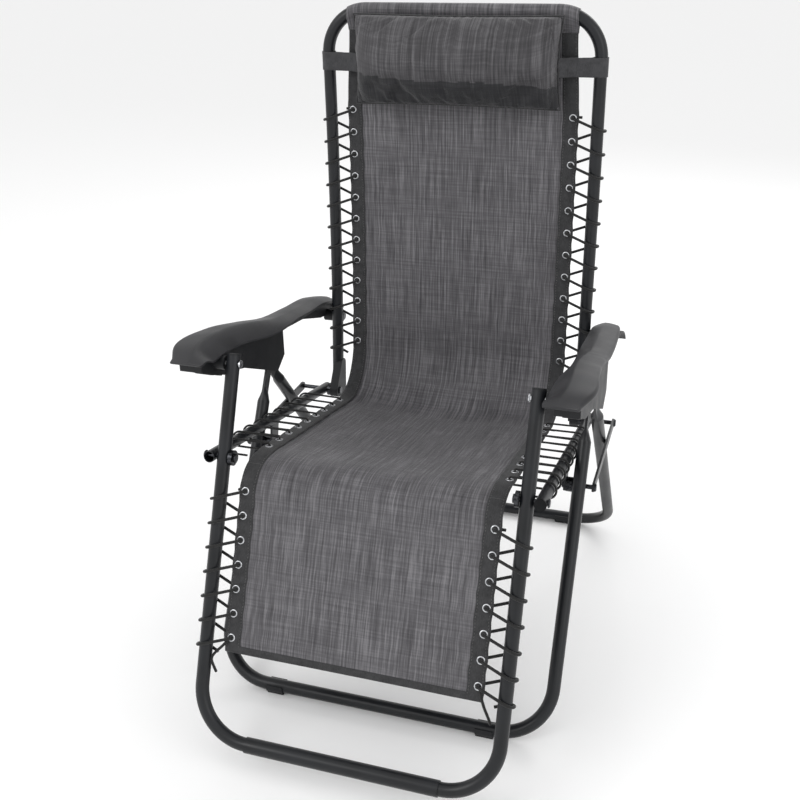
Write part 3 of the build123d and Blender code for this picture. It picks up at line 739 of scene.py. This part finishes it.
# ---- steel eyelets ----
def eyelet_ring():
    """(radius, height) outline of a pressed eyelet: rolled barrel and domed flange."""
    return [(4.0, -1.2), (4.3, -2.1), (5.0, -2.5), (5.9, -2.4), (6.6, -1.9), (6.7, -1.5),
            (6.7, 1.5), (6.6, 1.9), (5.9, 2.4), (5.0, 2.5), (4.3, 2.1), (4.0, 1.2)]


def eyelets(node, body):
    outline, turns = eyelet_ring(), 28
    verts, faces = [], []
    for middle, axis in EYELETS[node]:
        side = axis.orthogonal().normalized()
        other = axis.cross(side)
        base = len(verts)
        for i in range(turns):
            a = 2 * math.pi * i / turns
            out = side * math.cos(a) + other * math.sin(a)
            verts += [middle + out * (r * MM) + axis * (h * MM) for r, h in outline]
        count = len(outline)
        for i in range(turns):
            j = (i + 1) % turns
            for k in range(count):
                m = (k + 1) % count
                here, there = base + i * count, base + j * count
                faces.append((here + k, there + k, there + m, here + m))
    made = piece(node.replace("grommets", "eyelets"), verts, faces, ZINC)
    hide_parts(node)
    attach(made, body)


eyelets("back_grommets", "back")
eyelets("seat_grommets", "seat")
eyelets("footrest_grommets", "footrest")


# ---- headrest pillow ----
PILLOW_LOW, PILLOW_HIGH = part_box("headrest_pillow")
PILLOW_MID = (PILLOW_LOW + PILLOW_HIGH) / 2
PILLOW_HALF_X = (PILLOW_HIGH.x - PILLOW_LOW.x) / 2
PILLOW_HALF_Z = (PILLOW_HIGH.z - PILLOW_LOW.z) / 2
PILLOW_BACK_Y = PILLOW_HIGH.y - 22 * MM
PILLOW_SEAM_SHARE = -0.34
PILLOW_TRAVEL = 9 * MM       # most that air pressure may move a point


def pillow_outline(u, w):
    """Place of the flat outline: sides drawn in between the corners."""
    x = u * (PILLOW_HALF_X - 7 * MM * (1 - w * w))
    z = PILLOW_MID.z + w * (PILLOW_HALF_Z - 3 * MM - 3 * MM * (1 - u * u))
    return x, z


def pillow_form():
    """Closed crowned form: front and back skins that meet in a seam all round."""
    columns, rows = 64, 28
    front, back = [], []
    for j in range(rows + 1):
        w = math.sin(math.pi / 2 * (2 * j / rows - 1))
        for i in range(columns + 1):
            u = math.sin(math.pi / 2 * (2 * i / columns - 1)) * 0.5 + (2 * i / columns - 1) * 0.5
            x, z = pillow_outline(u, w)
            full = ((1 - u ** 6) * max(0.0, 1 - w * w)) ** 0.5
            front.append((x, PILLOW_BACK_Y - 52 * MM * full, z))
            back.append((x, PILLOW_BACK_Y + 17 * MM * full, z))
    width = columns + 1
    faces = grid_faces(rows + 1, width)
    offset = len(front)
    faces += [tuple(offset + i for i in reversed(face)) for face in faces]
    return front + back, faces


def simulate_pillow(made):
    """Swell the pillow under air pressure, held along its seam, with each point's travel capped."""
    remesh = made.modifiers.new("remesh", "REMESH")
    remesh.mode = "VOXEL"
    remesh.voxel_size = 5 * MM
    graph = bpy.context.evaluated_depsgraph_get()
    mesh = bpy.data.meshes.new_from_object(made.evaluated_get(graph))
    made.modifiers.clear()
    made.data = mesh
    start = np.array([v.co for v in mesh.vertices], float)
    group = made.vertex_groups.new(name="seam")
    near_x = (np.abs(start[:, 0]) - PILLOW_HALF_X + 12 * MM) / (6 * MM)
    near_z = (np.abs(start[:, 2] - PILLOW_MID.z) - PILLOW_HALF_Z + 9 * MM) / (4 * MM)
    hold = np.clip(np.maximum(near_x, near_z), 0, 1)
    for i, weight in enumerate(hold):
        if weight > 0:
            group.add([i], float(weight), "REPLACE")
    cloth = made.modifiers.new("cloth", "CLOTH")
    settings = cloth.settings
    settings.quality = 6
    settings.mass = 0.25
    settings.tension_stiffness = 12
    settings.compression_stiffness = 12
    settings.bending_stiffness = 0.4
    settings.use_pressure = True
    settings.uniform_pressure_force = 4.0
    settings.effector_weights.gravity = 0.0
    settings.vertex_group_mass = "seam"
    settings.shrink_min = -0.05
    scene = bpy.context.scene
    scene.frame_start, scene.frame_end = 1, 20
    for number in range(1, 21):
        scene.frame_set(number)
    graph = bpy.context.evaluated_depsgraph_get()
    swollen = bpy.data.meshes.new_from_object(made.evaluated_get(graph))
    made.modifiers.clear()
    end = np.array([v.co for v in swollen.vertices], float)
    moved = end - start
    travel = np.linalg.norm(moved, axis=1, keepdims=True)
    moved *= np.minimum(1.0, PILLOW_TRAVEL / np.maximum(travel, 1e-9))
    settled = start + moved
    low, high = np.array(PILLOW_LOW) + 1 * MM, np.array(PILLOW_HIGH) - 1 * MM
    swollen.vertices.foreach_set("co", np.clip(settled, low, high).ravel())
    made.data = swollen
    scene.frame_set(1)


def crease_pillow(made):
    """Soft folds that run from the corners and the strap ends, and the sewn line across the front."""
    mesh = made.data
    for vert in mesh.vertices:
        x, y, z = vert.co
        w = (z - PILLOW_MID.z) / PILLOW_HALF_Z
        if y < PILLOW_BACK_Y:
            fold = noise.noise(Vector((x * 14 + z * 20, z * 34, 5.0)))
            fine = noise.noise(Vector((x * 45, z * 60, 2.0)))
            toward_end = smoothstep(0.25, 1.0, abs(x) / PILLOW_HALF_X)
            seam = math.exp(-((w - seam_share(x)) / 0.045) ** 2)
            vert.co.y += (fold * (1.6 + 2.2 * toward_end) + fine * 0.7) * MM * (1 - w * w) + 2.2 * MM * seam
    mesh.update()


def seam_share(x):
    """Height of the sewn line between the grey front and the darker painted-shade underside, as a share of half
    the height.
    """
    return PILLOW_SEAM_SHARE + 0.035 * math.sin(x * 22) - 0.10 * x / PILLOW_HALF_X


def paint_pillow(made):
    mesh = made.data
    mesh.materials.clear()
    mesh.materials.append(PILLOW_CLOTH)
    mesh.materials.append(PILLOW_PAINTED_SHADE)
    for face in mesh.polygons:
        face.use_smooth = True
        x, y, z = face.center
        w = (z - PILLOW_MID.z) / PILLOW_HALF_Z
        # Faces below the sewn line and on the back take the darker copy of the cloth: painted shade.
        face.material_index = 1 if w < seam_share(x) or y > PILLOW_BACK_Y + 4 * MM else 0
    mark_cloth(mesh, [(v.co.x, v.co.z - (v.co.y - PILLOW_BACK_Y) * 0.5, 0) for v in mesh.vertices])


def pillow_piping():
    """Corded seam round the pillow's outline."""
    ring = []
    steps = 40
    for share in (2 * i / steps - 1 for i in range(steps)):
        ring.append(pillow_outline(share, -1))
    for share in (2 * i / 16 - 1 for i in range(16)):
        ring.append(pillow_outline(1, share))
    for share in (1 - 2 * i / steps for i in range(steps)):
        ring.append(pillow_outline(share, 1))
    for share in (1 - 2 * i / 16 for i in range(16)):
        ring.append(pillow_outline(-1, share))
    ring = [p for i, p in enumerate(ring) if math.dist(p, ring[i - 1]) > 1 * MM]
    verts, count, sides, radius = [], len(ring), 8, 1.7 * MM
    for i in range(count):
        x, z = ring[i]
        ahead, behind = ring[(i + 1) % count], ring[i - 1]
        run = Vector((ahead[0] - behind[0], 0, ahead[1] - behind[1]))
        out = run.normalized().cross(Vector((0, 1, 0)))
        for k in range(sides):
            a = 2 * math.pi * k / sides
            rise = Vector((0, radius * math.sin(a), 0))
            verts.append(Vector((x, PILLOW_BACK_Y, z)) + out * (radius * math.cos(a)) + rise)
    faces = []
    for i in range(count):
        j = (i + 1) % count
        faces += [(i * sides + k, i * sides + (k + 1) % sides, j * sides + (k + 1) % sides, j * sides + k)
                  for k in range(sides)]
    made = piece("pillow_piping", verts, faces, EDGE_TAPE)
    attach(made, "headrest")


def headrest_pillow():
    verts, faces = pillow_form()
    made = piece("pillow", verts, faces, PILLOW_CLOTH)
    form = bmesh.new()
    form.from_mesh(made.data)
    bmesh.ops.remove_doubles(form, verts=form.verts, dist=0.3 * MM)
    bmesh.ops.recalc_face_normals(form, faces=form.faces)
    form.to_mesh(made.data)
    form.free()
    simulate_pillow(made)
    crease_pillow(made)
    paint_pillow(made)
    made.modifiers.new("smooth", "SUBSURF").render_levels = 1
    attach(made, "headrest")
    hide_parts("headrest_pillow")


headrest_pillow()
pillow_piping()


# ---- headrest straps ----
STRAP_LOW, STRAP_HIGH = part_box("headrest_straps")


def strap_path():
    """(x, y) line from the pillow's end, round the back tube and back on itself."""
    tube_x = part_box("back_frame")[1].x - TUBE_R
    radius = TUBE_R + 1.2 * MM
    path = [(PILLOW_HALF_X - 16 * MM, PILLOW_BACK_Y + 1 * MM), (PILLOW_HALF_X - 4 * MM, PILLOW_BACK_Y + 3 * MM),
            (PILLOW_HALF_X + 12 * MM, BACK_Y - 14 * MM), (PILLOW_HALF_X + 34 * MM, BACK_Y - 12.6 * MM)]
    path += [(tube_x + radius * math.sin(a), BACK_Y - radius * math.cos(a))
             for a in (math.radians(d) for d in range(-8, 271, 14))]
    return path + [(tube_x - 15 * MM, BACK_Y - 7 * MM), (PILLOW_HALF_X + 30 * MM, BACK_Y - 10.9 * MM)]


def headrest_straps():
    path = strap_path()
    low, high = STRAP_LOW.z, STRAP_HIGH.z
    levels = [low + (high - low) * i / 12 for i in range(13)]
    verts, faces = [], []
    for side in (-1, 1):
        base = len(verts)
        for x, y in path:
            for z in levels:
                waist = 1.2 * MM * math.sin(math.pi * (z - low) / (high - low)) * smoothstep(0.19, 0.215, x)
                verts.append((side * x, y + waist * 0.3, z))
        loop = grid_faces(len(path), len(levels))
        faces += [tuple(base + i for i in (face if side > 0 else reversed(face))) for face in loop]
    made = piece("pillow_straps", verts, faces, STRAP_TAPE)
    solidify(made, 1.1 * MM)
    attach(made, "headrest")
    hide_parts("headrest_straps")


headrest_straps()


# ---- armrests ----
SHIFT_Y = HIP.y - 165 * MM
ARM_TOP = [(-328, 628), (-300, 637), (-250, 640), (-190, 633), (-100, 611), (0, 582),
           (100, 567), (190, 556), (245, 537), (288, 507)]
ARM_OUTER = [(-318, 318), (-290, 330), (-205, 327), (-110, 321), (0, 320), (100, 318), (200, 312), (288, 300)]
ARM_INNER_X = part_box("armrest_right")[0].x


def curve_through(points, y):
    """Smooth value at y through (y, value) points in millimetres."""
    ys = [p[0] for p in points]
    values = [p[1] for p in points]
    i = int(np.clip(np.searchsorted(ys, y) - 1, 0, len(ys) - 2))
    slopes = np.gradient(values, ys)
    span = ys[i + 1] - ys[i]
    t = (y - ys[i]) / span
    a, b = values[i], values[i + 1]
    return ((2 * t ** 3 - 3 * t ** 2 + 1) * a + (t ** 3 - 2 * t ** 2 + t) * span * slopes[i]
            + (3 * t ** 2 - 2 * t ** 3) * b + (t ** 3 - t ** 2) * span * slopes[i + 1])


ARM_SHELL_T = 12.6 * MM


CREASE = 0.46            # share of the width that slopes down on the inner side


def arm_section(half, crown, slope_drop):
    """(x, drop) outline round an armrest section: crowned top, inner slope, rolled outer edge."""
    edge = min(6.5 * MM, half * 0.7)

    def top(share):
        inner = max(0.0, 1 - share / CREASE)
        return crown * (2 * share - 1) ** 2 + slope_drop * inner ** 1.15

    shares = [0, 0.04, 0.12, 0.24, 0.36, 0.42, 0.46, 0.5, 0.6, 0.75, 0.88, 1]
    outline = [(-half + (2 * half - edge) * share, top(share)) for share in shares]
    for i in range(1, 6):
        a = math.pi / 2 * i / 5
        outline.append((half - edge + edge * math.sin(a), crown + edge * (1 - math.cos(a))))
    outline += [(half - 0.4 * MM, ARM_SHELL_T - 1.5 * MM), (half - 2 * MM, ARM_SHELL_T)]
    for share in (0.75, 0.5, 0.36, 0.2, 0.08, 0.0):
        outline.append((-half + (2 * half - edge) * share + 0.6 * MM, max(ARM_SHELL_T, top(share) + 3 * MM)))
    outline.append((-half, max(ARM_SHELL_T, top(0.0) + 2 * MM) - 1 * MM))
    return outline


def arm_pad(name, side):
    """Curved armrest: squared plan, front nose rolled down, inner side sloped down to the housing."""
    front, rear = ARM_TOP[0][0], ARM_TOP[-1][0]
    verts, steps, columns = [], 90, 0
    for i in range(steps + 1):
        t = 0.5 - 0.5 * math.cos(math.pi * i / steps)
        y = front + (rear - front) * t
        z = curve_through(ARM_TOP, y) * MM
        slope = (curve_through(ARM_TOP, y + 1) - curve_through(ARM_TOP, y - 1)) / 2
        down = Vector((0, slope, -1)).normalized()
        outer = curve_through(ARM_OUTER, max(y, ARM_OUTER[0][0])) * MM
        middle = (ARM_INNER_X + outer) / 2
        half = (outer - ARM_INNER_X) / 2
        end_gap = min((y - front) / 9, (rear - y) / 12, 1.0)
        half *= 0.86 + 0.14 * math.sqrt(max(0.0, 1 - (1 - end_gap) ** 2))
        taper = min((y - front) / 26, (rear - y) / 10, 1.0)
        thin = 0.3 + 0.7 * math.sqrt(max(0.0, 1 - (1 - taper) ** 2))
        slope_drop = (5 + 17 * smoothstep(-320, -280, y) * (1 - smoothstep(-90, 60, y))) * MM
        section = arm_section(half, 2.6 * MM, slope_drop)
        columns = len(section)
        for x, drop in section:
            point = Vector((0, y * MM + SHIFT_Y, z)) + down * (drop * thin)
            verts.append((side * (middle + x), point.y, point.z))
    faces = tube_faces(steps + 1, columns)
    if side > 0:
        faces = [tuple(reversed(face)) for face in faces]
    made = piece(f"{name}_pad", verts, faces, ARM_PLASTIC)
    smooth_by_angle(made.data, 36)
    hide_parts(name)
    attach(made, "armrests")


arm_pad("armrest_right", 1)
arm_pad("armrest_left", -1)


# ---- loose ends of the laces ----
def cord(name, points, radius, body):
    """Round elastic cord through points, with smooth turns."""
    line = [Vector(p) for p in points]
    for _ in range(3):
        cut = [line[0]]
        for a, b in zip(line, line[1:]):
            cut += [a.lerp(b, 0.25), a.lerp(b, 0.75)]
        line = cut + [line[-1]]
    verts, sides = [], 10
    side = Vector((0, 0, 1))
    for i, place in enumerate(line):
        run = (line[min(i + 1, len(line) - 1)] - line[max(i - 1, 0)]).normalized()
        side = (side - run * side.dot(run)).normalized()
        other = run.cross(side)
        verts += [place + (side * math.cos(a) + other * math.sin(a)) * radius
                  for a in (2 * math.pi * k / sides for k in range(sides))]
    made = piece(name, verts, tube_faces(len(line), sides), BRAID)
    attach(made, body)


def lace_tail(name, side, steps):
    """Free end of a footrest lace, from the last eyelet down past the hem."""
    middle = min((m for m, _ in EYELETS["footrest_grommets"] if m.x * side > 0), key=lambda m: m.z)
    start = middle + Vector((side * 4 * MM, -5 * MM, -2 * MM))
    points = [start]
    for dx, dy, dz in steps:
        points.append(points[-1] + Vector((side * dx, dy, dz)) * MM)
    cord(name, points, 2.3 * MM, "footrest")


lace_tail("lace_tail_right", 1, [(3, -4, -12), (5, -2, -16), (7, 0, -18), (3, 1, -12)])
lace_tail("lace_tail_left", -1, [(8, -4, -10), (14, -3, -14), (6, -5, -10), (-5, -3, -10), (-4, 0, -12)])
